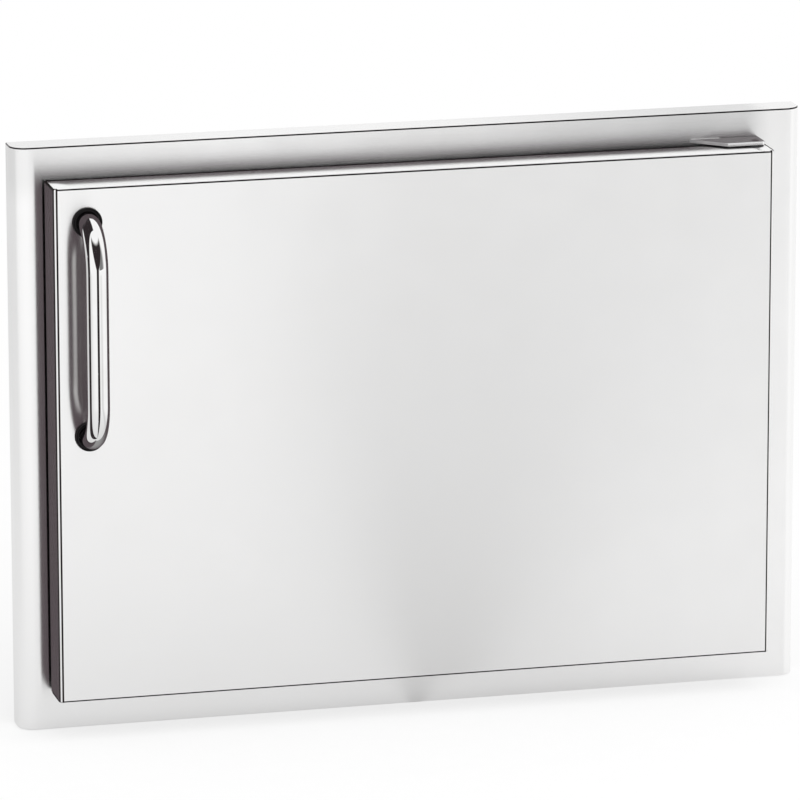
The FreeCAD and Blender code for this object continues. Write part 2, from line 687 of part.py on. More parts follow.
def make_catch_poles():
    """Two steel plates beside the magnet that stand proud and meet the strike."""
    body = new_body("catch_pole_plates")
    plates = []
    for hand in (1, -1):
        centre = "%s + %d * (magnet_thick + pole_thick) / 2" % (CATCH_ACROSS, hand)
        plates.append(centred("pole_thick", "magnet_length", (centre, "0")))
    slab(body, plates, "frame_out - magnet_depth", "frame_out + pole_proud")
    return body


def make_catch_screws():
    """Pan-headed screws through the ears into the sleeve."""
    body = new_body("catch_screws")
    seat = "-window_width / 2 + ear_thick"
    heads = sketch_on(body, "YZ_Plane", seat)
    for name, side in SIDES:
        draw_circle(heads, ear_centre(side), "catch_screw_head")
    pad(body, heads, "catch_screw_dome")
    top = -sizes.window_width / 2 + sizes.ear_thick + sizes.catch_screw_dome
    fillet(body, lambda box: box.XMin > top - 0.01, "catch_screw_round")
    shanks = sketch_on(body, "YZ_Plane", seat + " - catch_screw_length")
    for name, side in SIDES:
        draw_circle(shanks, ear_centre(side), "catch_screw_radius")
    pad(body, shanks, "catch_screw_length + catch_screw_dome / 2")
    slots = sketch_on(body, "YZ_Plane", seat + " + catch_screw_dome")
    for name, side in SIDES:
        draw_outline(slots, centred("slot_length", "slot_width", ear_centre(side)))
    pocket(body, slots, "slot_depth")
    return body


def make_strike_plate():
    body = new_body("strike_plate")
    slab(body, [centred("strike_width", "strike_length", (CATCH_ACROSS, "0"))],
         DOOR_REAR + " - strike_thick", DOOR_REAR)
    cut_discs(body, STRIKE_PLACES, "strike_screw_radius + screw_play",
              DOOR_REAR + " - strike_thick - 1", DOOR_REAR)
    return body


def make_strike_screws():
    body = new_body("strike_screws")
    seat = DOOR_REAR + " - strike_thick"
    discs(body, STRIKE_PLACES, "strike_screw_head", seat + " - strike_screw_dome", seat)
    rear = -(sizes.frame_out + sizes.door_gap - sizes.strike_thick - sizes.strike_screw_dome)
    fillet(body, lambda box: box.YMin > rear - 0.01, "strike_screw_dome / 2")
    discs(body, STRIKE_PLACES, "strike_screw_radius", seat + " - strike_screw_dome / 2",
          SKIN_REAR + " + strike_screw_tail")
    return body


def make_bumpers():
    """Soft stops on the flange, behind the door's free corners."""
    body = new_body("door_bumpers")
    front = DOOR_REAR + " - bumper_gap"
    discs(body, BUMPER_PLACES, "bumper_radius", "frame_out", front)
    edge = -(sizes.frame_out + sizes.door_gap - sizes.bumper_gap)
    fillet(body, lambda box: box.YMax < edge + 0.01, "bumper_round")
    return body


parts = [
    make_trim_frame(),
    make_sleeve_wall("sleeve_top", 1),
    make_sleeve_wall("sleeve_bottom", -1),
    make_sleeve_side("sleeve_left", -1),
    make_sleeve_side("sleeve_right", 1),
    make_bracket_studs(),
    make_bracket_washers(),
    make_bracket_nuts(),
    make_hinge_stiffener(),
    make_door_skin(),
    make_door_panel(),
    make_panel_rivets(),
    make_handle_bar(),
    make_handle_gaskets(),
    make_handle_backing(),
    make_handle_washers(),
    make_handle_screws(),
    make_catch_body(),
    make_catch_magnet(),
    make_catch_poles(),
    make_catch_screws(),
    make_strike_plate(),
    make_strike_screws(),
    make_bumpers(),
]
for name, side in SIDES:
    parts.append(make_hinge_bracket(name, side))
    parts.append(make_pivot_pin(name, side))
    parts.append(make_pivot_bush(name, side))
    parts.append(make_pivot_block(name, side))

doc.recompute()
check_states(doc.Objects)
for part in parts:
    if part.Shape.isNull() or not part.Shape.isValid():
        raise RuntimeError("%s has no sound shape" % part.Label)

os.makedirs("parts", exist_ok=True)
for part in parts:
    part.Shape.exportStep("parts/%s.step" % part.Label)
    box = part.Shape.BoundBox
    print("%-22s %2d solids  %9.1f mm3  x %.1f..%.1f  y %.1f..%.1f  z %.1f..%.1f" % (
        part.Label, len(part.Shape.Solids), part.Shape.Volume,
        box.XMin, box.XMax, box.YMin, box.YMax, box.ZMin, box.ZMax))
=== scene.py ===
import json
import math

import bmesh
import bpy
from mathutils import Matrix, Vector


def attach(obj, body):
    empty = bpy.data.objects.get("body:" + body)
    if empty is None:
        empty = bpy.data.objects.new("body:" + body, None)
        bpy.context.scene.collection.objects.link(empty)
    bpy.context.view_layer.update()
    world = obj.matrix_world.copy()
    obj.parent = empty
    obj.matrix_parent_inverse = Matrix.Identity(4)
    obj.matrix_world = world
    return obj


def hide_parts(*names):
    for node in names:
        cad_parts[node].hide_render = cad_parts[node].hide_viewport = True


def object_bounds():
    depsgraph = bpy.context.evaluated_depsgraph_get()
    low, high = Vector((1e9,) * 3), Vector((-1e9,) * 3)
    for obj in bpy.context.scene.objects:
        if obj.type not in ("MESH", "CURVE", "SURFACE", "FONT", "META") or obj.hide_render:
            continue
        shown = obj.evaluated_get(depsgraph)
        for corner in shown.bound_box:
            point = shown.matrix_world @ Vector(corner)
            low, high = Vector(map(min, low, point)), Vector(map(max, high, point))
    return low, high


# Access door for an outdoor kitchen island, on a pale studio floor.
# Metres, +Z up, the front faces -Y. The measures below are those of the CAD source.

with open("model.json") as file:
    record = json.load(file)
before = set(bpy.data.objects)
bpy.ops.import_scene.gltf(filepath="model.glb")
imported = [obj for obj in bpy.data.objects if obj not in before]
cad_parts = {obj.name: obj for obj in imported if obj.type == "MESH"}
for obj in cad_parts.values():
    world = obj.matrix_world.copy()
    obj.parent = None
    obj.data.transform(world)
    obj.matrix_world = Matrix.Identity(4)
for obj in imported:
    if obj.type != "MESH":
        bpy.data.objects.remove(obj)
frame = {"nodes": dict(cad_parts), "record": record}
nodes = frame["nodes"]
CAD_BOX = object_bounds()

MM = 0.001
DEGREES = 180.0 / math.pi

FRAME_TOP = 213.5 * MM
FLANGE_FACE = -23.5 * MM
DOOR_HALF_WIDE = 268.0 * MM
DOOR_HALF_HIGH = 190.0 * MM
DOOR_FACE = -59.0 * MM
DOOR_BACK = -28.0 * MM
DOOR_ROLL = 2.6 * MM            # outer radius of the folds along the face's sides

HANDLE_X = -243.6 * MM
HANDLE_ENDS = (164.8 * MM, 7.8 * MM)
BAR_LINE = -92.0 * MM           # the bar's centre line in front of the door
BAR_FOOT = -59.8 * MM
BAR_RADIUS = 8.0 * MM
BEND_RADIUS = 30.5 * MM
BEND_STEPS = 40
BAR_SIDES = 72
CUP_SIDES = 96

EAST = Vector((1.0, 0.0, 0.0))
NORTH = Vector((0.0, 1.0, 0.0))
UP = Vector((0.0, 0.0, 1.0))

# The colour mix node keeps its colours in these sockets.
COLOUR_A, COLOUR_B, COLOUR_OUT = 6, 7, 2


class Shader:
    """A material under construction: short names for adding and joining nodes."""

    def __init__(self, name):
        self.material = bpy.data.materials.new(name)
        self.material.use_nodes = True
        self.tree = self.material.node_tree
        self.surface = self.tree.nodes["Principled BSDF"]
        self.place = self.add("ShaderNodeTexCoord").outputs["Object"]

    def add(self, kind, **settings):
        node = self.tree.nodes.new(kind)
        for key, value in settings.items():
            setattr(node, key, value)
        return node

    def join(self, source, target):
        self.tree.links.new(source, target)

    def feed(self, socket, value):
        """Link a node's output, or write a plain value, into a socket."""
        if isinstance(value, bpy.types.NodeSocket):
            self.join(value, socket)
        else:
            socket.default_value = value

    def set(self, **values):
        """Feed the surface's own sockets, with _ for a blank in their names."""
        for name, value in values.items():
            self.feed(self.surface.inputs[name.replace("_", " ")], value)

    def math(self, operation, first, second=0.0, clamp=False):
        node = self.add("ShaderNodeMath", operation=operation, use_clamp=clamp)
        self.feed(node.inputs[0], first)
        self.feed(node.inputs[1], second)
        return node.outputs[0]

    def plus(self, first, second):
        return self.math("ADD", first, second)

    def minus(self, first, second, clamp=False):
        return self.math("SUBTRACT", first, second, clamp)

    def times(self, first, second):
        return self.math("MULTIPLY", first, second)

    def larger(self, first, second):
        return self.math("MAXIMUM", first, second)

    def above(self, value, limit):
        return self.math("GREATER_THAN", value, limit)

    def below(self, value, limit):
        return self.math("LESS_THAN", value, limit)

    def size(self, value):
        return self.math("ABSOLUTE", value)

    def heading(self, east, north):
        """Degrees to the right of straight ahead, which is -Y."""
        return self.times(self.math("ARCTAN2", east, self.times(north, -1.0)), DEGREES)

    def split(self, vector):
        node = self.add("ShaderNodeSeparateXYZ")
        self.join(vector, node.inputs[0])
        return node.outputs

    def combine(self, x, y, z):
        node = self.add("ShaderNodeCombineXYZ")
        for socket, value in zip(node.inputs, (x, y, z)):
            self.feed(socket, value)
        return node.outputs[0]

    def steepness(self):
        """0 on upright faces, 1 on level ones."""
        normal = self.add("ShaderNodeTexCoord").outputs["Normal"]
        return self.size(self.split(normal)[2])

    def noise(self, where, scale, detail=3.0, rough=0.5):
        node = self.add("ShaderNodeTexNoise")
        self.join(where, node.inputs["Vector"])
        node.inputs["Scale"].default_value = scale
        node.inputs["Detail"].default_value = detail
        node.inputs["Roughness"].default_value = rough
        return node.outputs["Fac"]

    def spread(self, value, low, high, start=0.3, stop=0.7, kind="LINEAR"):
        """Map start..stop, by default most of a noise's range, to low..high."""
        node = self.add("ShaderNodeMapRange", interpolation_type=kind)
        settings = {"Value": value, "From Min": start, "From Max": stop,
                    "To Min": low, "To Max": high}
        for name, setting in settings.items():
            self.feed(node.inputs[name], setting)
        return node.outputs[0]

    def step(self, value, low, high):
        """Smooth 0..1 while value goes from low to high."""
        return self.spread(value, 0.0, 1.0, low, high, "SMOOTHSTEP")

    def fade(self, value, low, high):
        """Smooth 1..0 while value goes from low to high."""
        return self.minus(1.0, self.step(value, low, high))

    def window(self, value, rise, fall):
        """1 between two soft edges, each given as (start, end)."""
        return self.minus(self.step(value, *rise), self.step(value, *fall), clamp=True)

    def near(self, value, centre, half):
        """1 within half of centre, fading over another half."""
        return self.fade(self.size(self.minus(value, centre)), half, half * 2.0)

    def blend(self, amount, first, second):
        node = self.add("ShaderNodeMix", data_type="RGBA")
        self.feed(node.inputs[0], amount)
        self.feed(node.inputs[COLOUR_A], first)
        self.feed(node.inputs[COLOUR_B], second)
        return node.outputs[COLOUR_OUT]

    def choose(self, amount, first, second):
        """A blend of two numbers."""
        node = self.add("ShaderNodeMix", data_type="FLOAT")
        for socket, value in zip(node.inputs, (amount, None, first, second)):
            if value is not None:
                self.feed(socket, value)
        return node.outputs[0]

    def bump(self, height, strength, distance, under=None):
        """The surface's normal raised by a height, on top of another bump if given."""
        node = self.add("ShaderNodeBump")
        if under:
            self.join(under, node.inputs["Normal"])
        node.inputs["Strength"].default_value = strength
        node.inputs["Distance"].default_value = distance
        self.join(height, node.inputs["Height"])
        return node.outputs[0]

    def emission(self, colour):
        node = self.add("ShaderNodeEmission")
        self.feed(node.inputs["Color"], colour)
        return node.outputs[0]

    def layer(self, amount, under, over):
        """A mix of two finished surfaces."""
        node = self.add("ShaderNodeMixShader")
        for socket, source in zip(node.inputs, (amount, under, over)):
            self.join(source, socket)
        return node.outputs[0]


def grey(level, tint=(1.0, 1.0, 1.0)):
    return tuple(level * part for part in tint) + (1.0,)


# Colours of the painted dark lines at the folds, and of the painted shade on the frame's top
# margin.
PAINTED_LINE_COLOUR = (0.012, 0.006, 0.008, 1.0)
PAINTED_SHADE_GREY = grey(0.78)
WARM = (1.0, 0.995, 0.99)
STRETCH = 0.012                 # how much slower the grain changes along the brushing
LEVEL_FACE = 0.7                # steepness of a face that counts as level
TANGENT = (0.0, 0.02, 1.0)      # reflections smear up and down
MARK_DEPTH = 0.00003            # depth of the finest marks in sheet and plate


def across_grain(shader):
    """Object place stretched along the brushing: X on every sheet, depth on the sides."""
    x, y, z = shader.split(shader.place)
    flat = shader.above(shader.steepness(), LEVEL_FACE)
    depth = shader.choose(flat, shader.times(y, STRETCH), y)
    return shader.combine(shader.times(x, STRETCH), depth, z)


def brushed(name, level, spread, rough, painted_lines, crown=None, painted_shade=None):
    """Sheet with a level grain, so its reflections smear up and down, with painted dark lines at
    the folds and painted shade where given.
    """
    shader = Shader(name)
    grain_place = across_grain(shader)
    fine = shader.noise(grain_place, 5200.0, 3.0, 0.65)
    coarse = shader.noise(grain_place, 900.0, 2.0, 0.5)
    cloud = shader.noise(shader.place, 7.0, 2.0, 0.5)
    smudge = shader.noise(shader.place, 24.0, 4.0, 0.6)
    streak = shader.plus(shader.times(fine, 0.65), shader.times(coarse, 0.35))
    mixed = shader.plus(shader.times(streak, 0.7), shader.times(cloud, 0.3))
    colour = shader.blend(shader.spread(mixed, 0.0, 1.0, 0.35, 0.65),
                          grey(level - spread, WARM), grey(level + spread))
    # Painted shade over the sheet's colour where given, then the painted dark lines at the folds.
    if painted_shade:
        colour = shader.blend(painted_shade(shader), colour, PAINTED_SHADE_GREY)
    colour = shader.blend(painted_lines(shader), colour, PAINTED_LINE_COLOUR)
    roughness = shader.plus(shader.spread(streak, rough - 0.015, rough + 0.015),
                            shader.spread(smudge, -0.010, 0.014))
    tangent = shader.add("ShaderNodeVectorTransform", vector_type="VECTOR",
                         convert_from="OBJECT", convert_to="WORLD")
    tangent.inputs[0].default_value = TANGENT
    shader.set(Base_Color=colour, Metallic=1.0, Roughness=roughness, Anisotropic=1.0,
               Tangent=tangent.outputs[0],
               Normal=shader.bump(streak, 0.05, MARK_DEPTH, crown(shader) if crown else None))
    return shader.material


CROWN_BEND = -8.5               # height lost per square metre of depth
CROWN_END_BEND = 9.0            # and this much more at the two ends


def door_crown(shader):
    """The level returns curve down a little towards the face."""
    x, y, z = shader.split(shader.place)
    level = shader.above(shader.steepness(), LEVEL_FACE)
    depth = shader.larger(shader.minus(DOOR_BACK, y), 0.0)
    ends = shader.step(shader.size(x), DOOR_HALF_WIDE - 14.0 * MM, DOOR_HALF_WIDE - 2.0 * MM)
    fall = shader.times(shader.times(depth, depth),
                        shader.minus(CROWN_BEND, shader.times(ends, CROWN_END_BEND)))
    return shader.bump(shader.times(fall, level), 1.0, 1.0)


HAIRLINE = 0.34 * MM            # HAIRLINE = 0.34 * MM # half the width of a painted dark line at a fold
FREE_SIDE_LINE = 0.44 * MM      # and of the one on the handle's side


def door_painted_lines(shader):
    """Painted dark lines: painted reflection where the door's face bends into its returns,
    painted shadow along their rear and at the corners beside the welds.
    """
    x, y, z = shader.split(shader.place)
    side = shader.size(x)
    end = shader.size(z)
    # Painted dark reflections along the bends of the face.
    bend = DOOR_HALF_WIDE - DOOR_ROLL + 0.1 * MM
    upright = shader.larger(shader.near(x, -bend, FREE_SIDE_LINE), shader.near(x, bend, HAIRLINE))
    level = shader.times(shader.near(end, DOOR_HALF_HIGH - 0.95 * MM, HAIRLINE),
                         shader.below(side, DOOR_HALF_WIDE - DOOR_ROLL))
    line = shader.times(shader.larger(upright, level), shader.below(y, DOOR_FACE + 1.6 * MM))
    inner = shader.times(shader.window(y, (DOOR_FACE + 0.6 * MM, DOOR_FACE + 0.95 * MM),
                                       (DOOR_FACE + 2.3 * MM, DOOR_FACE + 2.7 * MM)),
                         shader.below(x, 1.9 * MM - DOOR_HALF_WIDE))
    # Painted shade at the ends of the upright returns, beside the corner welds.
    corner = shader.times(shader.step(end, DOOR_HALF_HIGH - 1.9 * MM, DOOR_HALF_HIGH - 1.3 * MM),
                          shader.above(side, DOOR_HALF_WIDE - 0.7 * MM))
    # Painted shadow along the rear of the returns.
    rear = shader.times(shader.near(y, DOOR_BACK - 1.6 * MM, 1.5 * MM),
                        shader.below(side, DOOR_HALF_WIDE - 0.4 * MM))
    return shader.larger(shader.larger(line, inner), shader.larger(rear, corner))


def frame_painted_line(shader):
    """Painted dark line along the frame's top fold, standing in for its dark reflection."""
    return shader.near(shader.split(shader.place)[2], FRAME_TOP - 0.72 * MM, HAIRLINE)


def frame_painted_shade(shader):
    """Painted shade: the sheet's colour darkens along the top margin, most towards the hinge."""
    x, y, z = shader.split(shader.place)
    right = shader.window(x, (-0.02, 0.24), (0.258, 0.278))
    left = shader.times(shader.step(shader.times(x, -1.0), 0.10, 0.28), 0.4)
    return shader.times(shader.larger(right, left), shader.step(z, 0.168, 0.192))


def mill(name, level, rough, tint=(1.0, 1.0, 1.0)):
    """Plain rolled or turned metal: cloudy, with fine random scratches."""
    shader = Shader(name)
    x, y, z = shader.split(shader.place)
    cloud = shader.noise(shader.place, 38.0, 4.0, 0.6)
    grit = shader.noise(shader.place, 2600.0, 2.0, 0.6)
    lines = shader.noise(shader.combine(shader.times(x, 0.05), y, z), 1500.0, 2.0, 0.6)
    mixed = shader.plus(shader.times(cloud, 0.5), shader.times(lines, 0.5))
    colour = shader.blend(shader.spread(mixed, 0.0, 1.0, 0.35, 0.65),
                          grey(level * 0.9, tint), grey(level * 1.06, tint))
    roughness = shader.plus(shader.spread(cloud, rough - 0.05, rough + 0.05),
                            shader.spread(grit, -0.03, 0.03))
    shader.set(Base_Color=colour, Metallic=1.0, Roughness=roughness,
               Normal=shader.bump(shader.plus(lines, grit), 0.15, MARK_DEPTH))
    return shader.material


def sheared(name, level, rough):
    """Bracket plate: rolled faces, paler ground edges, and a painted highlight: a bright, less
    metallic line at the slit.
    """
    shader = Shader(name)
    x, y, z = shader.split(shader.place)
    flat = shader.step(shader.steepness(), 0.45, 0.75)
    # Painted highlight: a line at the slit, less metallic so that it shows bright.
    painted_highlight = shader.times(shader.near(y, FLANGE_FACE - 0.6 * MM, 0.5 * MM),
                        shader.window(x, (213.0 * MM, 214.5 * MM), (234.0 * MM, 238.0 * MM)))
    painted_highlight = shader.times(painted_highlight, flat)
    cloud = shader.noise(shader.place, 38.0, 4.0, 0.6)
    lines = shader.noise(shader.combine(x, y, shader.times(z, 0.05)), 2400.0, 2.0, 0.6)
    colour = shader.blend(cloud, grey(level * 0.9), grey(level * 1.06))
    metal = shader.spread(flat, 0.70, 0.84, 0.0, 1.0)
    roughness = shader.plus(shader.spread(cloud, rough - 0.05, rough + 0.05),
                            shader.spread(lines, -0.03, 0.03))
    shader.set(Base_Color=colour, Metallic=shader.minus(metal, painted_highlight, clamp=True),
               Roughness=roughness,
               Normal=shader.bump(shader.plus(lines, cloud), 0.15, MARK_DEPTH))
    return shader.material


def polished(name, level, rough):
    """Mirror bar with faint polishing haze and hairline marks."""
    shader = Shader(name)
    x, y, z = shader.split(shader.place)
    haze = shader.noise(shader.place, 60.0, 3.0, 0.6)
    hair = shader.noise(shader.combine(x, y, shader.times(z, 0.04)), 3800.0, 2.0, 0.5)
    colour = shader.blend(shader.spread(haze, 0.0, 1.0),
                          grey(level - 0.02, (1.0, 0.995, 0.985)), grey(level + 0.01))
    roughness = shader.larger(shader.spread(haze, 0.0, rough, 0.66, 0.80),
                              shader.spread(hair, 0.0, rough, 0.72, 0.85))
    shader.set(Base_Color=colour, Metallic=1.0, Roughness=roughness,
               Normal=shader.bump(hair, 0.02, 0.00001))
    return shader.material


def moulded(name, colour, rough, grain_scale, grain, shine=0.5):
    """Plastic, rubber or ceramic with a moulded grain and slight mottling."""
    shader = Shader(name)
    mottle = shader.noise(shader.place, 120.0, 3.0, 0.6)
    pits = shader.noise(shader.place, grain_scale, 3.0, 0.6)
    dark = tuple(part * 0.86 for part in colour) + (1.0,)
    light = tuple(min(1.0, part * 1.08) for part in colour) + (1.0,)
    roughness = shader.plus(shader.spread(mottle, rough - 0.05, rough + 0.05),
                            shader.spread(pits, -0.04, 0.04))
    shader.set(Base_Color=shader.blend(shader.spread(mottle, 0.0, 1.0), dark, light),
               Roughness=roughness, Specular_IOR_Level=shine,
               Normal=shader.bump(pits, grain, 0.00006))
    return shader.material


def weld_bead_painted_shade(name):
    """Near-black weld bead, cloudy and gritty: its dark colour is painted shadow of the corner
    seam.
    """
    shader = Shader(name)
    cloud = shader.noise(shader.place, 260.0, 3.0, 0.6)
    grit = shader.noise(shader.place, 2400.0, 3.0, 0.6)
    colour = shader.blend(shader.spread(cloud, 0.0, 1.0),
                          (0.010, 0.008, 0.010, 1.0), (0.034, 0.024, 0.023, 1.0))
    roughness = shader.plus(shader.spread(cloud, 0.38, 0.52), shader.spread(grit, -0.04, 0.04))
    shader.set(Base_Color=colour, Metallic=1.0, Roughness=roughness,
               Normal=shader.bump(grit, 0.3, 0.00005))
    return shader.material


BRUSH_ROUGH = 0.190

LOOKS = {
    "brushed_sheet": brushed("brushed_sheet", 0.940, 0.012, BRUSH_ROUGH, door_painted_lines, door_crown),
    "liner_sheet": mill("liner_sheet", 0.72, 0.33),
    "bracket_steel": mill("bracket_steel", 0.88, 0.20),
    "block_alloy": mill("block_alloy", 0.70, 0.38, (0.99, 1.0, 1.02)),
    "polished_bar": polished("polished_bar", 0.92, 0.035),
    # Near black, so that the bush flange under the hinge bracket reads as the bracket's shadow:
    # painted shade.
    "bearing_plastic": moulded("bearing_plastic", (0.030, 0.030, 0.032), 0.42, 1800.0, 0.2),
    "dark_rubber": moulded("dark_rubber", (0.009, 0.008, 0.0085), 0.34, 1500.0, 0.25, 0.22),
    "catch_plastic": moulded("catch_plastic", (0.60, 0.59, 0.56), 0.45, 1400.0, 0.35),
    "magnet_ceramic": moulded("magnet_ceramic", (0.075, 0.070, 0.070), 0.55, 2400.0, 0.5),
}

# Nodes whose look differs from that of their slot.
BRACKET_LOOK = sheared("bracket_plate", 0.94, 0.20)
NODE_LOOKS = {
    # The frame gets a painted dark line at its top fold and painted shade along its top margin.
    "trim_frame": brushed("brushed_frame", 0.980, 0.010, BRUSH_ROUGH, frame_painted_line,
                          painted_shade=frame_painted_shade),
    "hinge_bracket_upper": BRACKET_LOOK,
    "hinge_bracket_lower": BRACKET_LOOK,
}

for row in frame["record"]["subparts"]:
    node = nodes[row["node"]]
    node.data.materials.clear()
    node.data.materials.append(NODE_LOOKS.get(row["node"], LOOKS[row["material_slot"]]))


def new_piece(name, mesh, body, look):
    """A scene piece that rides on a body and has this look."""
    for face in mesh.faces:
        face.smooth = True
    data = bpy.data.meshes.new(name)
    bmesh.ops.recalc_face_normals(mesh, faces=mesh.faces)
    mesh.to_mesh(data)
    mesh.free()
    data.materials.append(look)
    piece = bpy.data.objects.new(name, data)
    bpy.context.scene.collection.objects.link(piece)
    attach(piece, body)
    return piece


def ring(mesh, centre, across, up, radius, count):
    """A circle of vertices in the plane of two unit vectors."""
    turns = (2.0 * math.pi * index / count for index in range(count))
    return [mesh.verts.new(centre + across * (radius * math.cos(turn))
                           + up * (radius * math.sin(turn))) for turn in turns]


def join_rings(mesh, first, second):
    count = len(first)
    for index in range(count):
        following = (index + 1) % count
        mesh.faces.new((first[index], first[following], second[following], second[index]))


def skin(mesh, rings, closed=False):
    """Faces between neighbouring rings, then from the last to the first or over both ends."""
    for first, second in zip(rings, rings[1:]):
        join_rings(mesh, first, second)
    if closed:
        join_rings(mesh, rings[-1], rings[0])
    else:
        mesh.faces.new(rings[0])
        mesh.faces.new(rings[-1])


def bar_path():
    """Points and headings along the bar's centre line, from the top foot to the lower one."""
    steps = []
    for end, way in zip(HANDLE_ENDS, (-1.0, 1.0)):
        for index in range(BEND_STEPS + 1):
            part = index / BEND_STEPS
            turn = math.pi / 2 * (part if way < 0.0 else 1.0 - part)
            place = Vector((HANDLE_X, BAR_LINE + BEND_RADIUS - BEND_RADIUS * math.sin(turn),
                            end + way * BEND_RADIUS * (1.0 - math.cos(turn))))
            steps.append((place, Vector((0.0, way * math.cos(turn), -math.sin(turn)))))
    return steps


# Radius and height above the foot, in mm: the tapped hole's bottom, its wall, the foot's edge.
FOOT_PROFILE = ((0.3, 11.0), (2.1, 10.0), (2.1, 0.5), (2.6, 0.0), (7.3, 0.0), (8.0, 0.7))


def bar_end(mesh, height, flip):
    """Rings from the bottom of the tapped hole out to the bar's edge at one foot."""
    foot = Vector((HANDLE_X, BAR_FOOT, height))
    return [ring(mesh, foot - NORTH * (depth * MM), EAST, UP * flip, radius * MM, BAR_SIDES)
            for radius, depth in FOOT_PROFILE]


def make_bar():
    mesh = bmesh.new()
    top, low = HANDLE_ENDS
    rings = bar_end(mesh, top, 1.0)
    for place, heading in bar_path():
        rings.append(ring(mesh, place, EAST, heading.cross(EAST).normalized() * -1.0,
                          BAR_RADIUS, BAR_SIDES))
    rings += reversed(bar_end(mesh, low, -1.0))
    skin(mesh, rings)
    bar = new_piece("pull_bar", mesh, "door", LOOKS["polished_bar"])
    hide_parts("handle_bar")


# Radius and height above the door's face, in mm: floor, seat, and the rolled lip outside.
CUP_PROFILE = ((2.9, 0.0), (2.9, 0.8), (8.05, 0.8), (8.1, 1.5), (8.35, 1.72), (8.9, 1.62),
               (9.3, 1.45), (9.6, 1.75), (9.85, 2.3), (10.15, 2.55), (10.45, 2.5),
               (10.68, 2.2), (10.8, 1.7), (10.8, 0.35), (10.5, 0.0))


def make_cups():
    """Two rubber cups under the bar's feet: a floor, a seat for the bar and a rolled lip."""
    mesh = bmesh.new()
    for height in HANDLE_ENDS:
        base = Vector((HANDLE_X, DOOR_FACE, height))
        rings = [ring(mesh, base - NORTH * (rise * MM), EAST, UP, radius * MM, CUP_SIDES)
                 for radius, rise in CUP_PROFILE]
        skin(mesh, rings, closed=True)
    cups = new_piece("pull_cups", mesh, "door", LOOKS["dark_rubber"])
    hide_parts("handle_gaskets")


WELD_LENGTH = 28.5 * MM
WELD_START = DOOR_FACE + 1.4 * MM
WELD_INSET = 0.62 * MM          # its centre line inside the door box's corner
WELD_RADIUS = 0.72              # in mm, as the next
WELD_RIPPLE = 0.05
WELD_WAVES = 24.0
WELD_STEPS = 120
WELD_SIDES = 16


def make_corner_welds():
    """Dressed weld beads along the four short corners of the door box; their near-black colour is
    painted shadow of the corner seams.
    """
    mesh = bmesh.new()
    for side in (-1.0, 1.0):
        for end in (-1.0, 1.0):
            corner = Vector((side * (DOOR_HALF_WIDE - WELD_INSET), 0.0,
                             end * (DOOR_HALF_HIGH - WELD_INSET)))
            rings = []
            for index in range(WELD_STEPS + 1):
                along = index / WELD_STEPS
                swell = WELD_RIPPLE * abs(math.sin(along * math.pi * WELD_WAVES))
                taper = min(1.0, 8.0 * min(along, 1.0 - along) + 0.25)
                radius = (WELD_RADIUS + swell) * taper * MM
                place = corner + NORTH * (WELD_START + along * WELD_LENGTH)
                rings.append(ring(mesh, place, EAST, UP, radius, WELD_SIDES))
            skin(mesh, rings)
    new_piece("corner_welds", mesh, "door", weld_bead_painted_shade("weld_bead_painted_shade"))


make_bar()
make_cups()
make_corner_welds()


DIM_AHEAD = (0.088, 0.070, 0.077, 1.0)      # what a second mirroring sees in front
DIM_BEHIND = (0.50, 0.49, 0.49, 1.0)        # and behind the object
DIM_UNDER_BAR = grey(0.36)                  # and on the floor in front of the bar
DARK = (0.030, 0.024, 0.026, 1.0)           # the drapes
SHADE = grey(0.22)                          # a dimmer part of the wall, front right
WHITE = (1.0, 1.0, 1.0, 1.0)
FILL = grey(0.88)                           # what the white walls give to matt surfaces


def twice_mirrored(shader, path):
    """1 for rays that left a second mirroring: those see the dim side of the room."""
    return shader.minus(path["Glossy Depth"], 1.0, clamp=True)


def drapes(shader, azimuth, elevation):
    """Dark drapes that only the mirror-polished bar sees: at the camera and at the left."""
    lean = shader.times(shader.larger(elevation, 0.0), 1.1)
    ahead = shader.minus(shader.step(shader.plus(azimuth, lean), -17.5, -14.5),
                         shader.step(shader.minus(azimuth, lean), 5.0, 8.0), clamp=True)
    ahead = shader.times(ahead, shader.window(elevation, (-91.0, -90.5), (50.0, 62.0)))
    far_edge = shader.plus(azimuth, shader.times(lean, 2.0))
    aside = shader.minus(shader.step(far_edge, -120.0, -116.0),
                         shader.step(azimuth, -90.0, -85.0), clamp=True)
    return shader.larger(ahead, aside)


def floor_tone(shader, x, y, ahead):
    """How bright mirrors see the floor: less close by, and in a patch front right."""
    left = shader.minus(shader.step(ahead, 0.8, 1.4), shader.step(x, 0.05, 0.45), clamp=True)
    reach = shader.plus(ahead, shader.times(left, 0.8))
    dull = shader.times(shader.window(shader.heading(x, y), (-2.0, 13.0), (18.0, 36.0)),
                        shader.fade(reach, 1.0, 2.4))
    close = shader.times(shader.fade(ahead, -0.1, 1.1),
                         shader.minus(1.0, shader.times(shader.step(x, 0.06, 0.36), 0.75)))
    return shader.times(shader.minus(1.0, shader.times(dull, 0.24)),
                        shader.minus(1.0, shader.times(close, 0.27)))


def floor_when_dim(shader, x, y):
    """What a second mirroring sees of the floor: lighter in front of the bar."""
    from_bar = shader.math("SQRT", shader.plus(
        shader.math("POWER", shader.minus(x, HANDLE_X), 2.0),
        shader.math("POWER", shader.minus(y, BAR_LINE), 2.0)))
    beside = shader.step(shader.times(x, -1.0), 0.252, 0.268)
    far_from_bar = shader.larger(shader.step(from_bar, 0.06, 0.35), beside)
    front = shader.blend(far_from_bar, DIM_UNDER_BAR, DIM_AHEAD)
    return shader.blend(shader.step(y, -0.02, 0.5), front, DIM_BEHIND)


